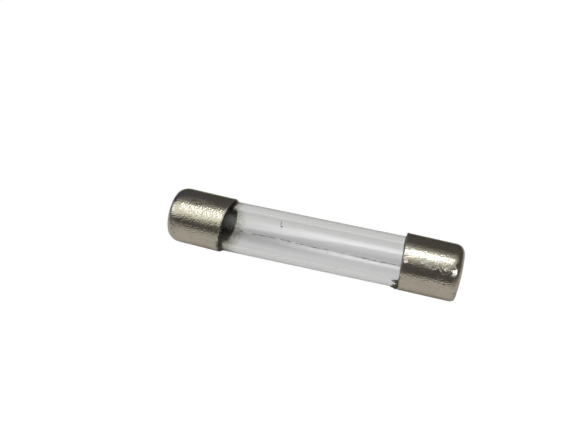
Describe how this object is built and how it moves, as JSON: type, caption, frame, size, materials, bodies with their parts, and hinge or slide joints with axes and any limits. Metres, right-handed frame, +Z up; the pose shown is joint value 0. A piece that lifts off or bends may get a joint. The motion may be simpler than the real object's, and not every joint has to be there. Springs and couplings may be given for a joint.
{
  "type": "cartridge fuse",
  "caption": "Glass cartridge fuse: a clear tube with a fine wire inside, closed by rounded nickel-plated end caps that carry current from a holder's clips.",
  "frame": {"origin": "on the tube's axis, midway between the two caps' flat ends", "axes": "+X along the fuse from the left cap to the right cap; +Z up as the fuse lies on a table; +Y across it, away from the camera side"},
  "size_m": [0.0324, 0.0062, 0.0062],
  "materials": {
    "glass": "polished",
    "nickel": "satin",
    "cement": "matte",
    "solder": "satin",
    "wire": "satin"
  },
  "bodies": {
    "root": {"glass_tube": "glass", "left_end_cap": "nickel", "right_end_cap": "nickel", "left_cement_ring": "cement", "right_cement_ring": "cement", "left_solder": "solder", "right_solder": "solder", "fuse_wire": "wire"}
  },
  "joints": []
}
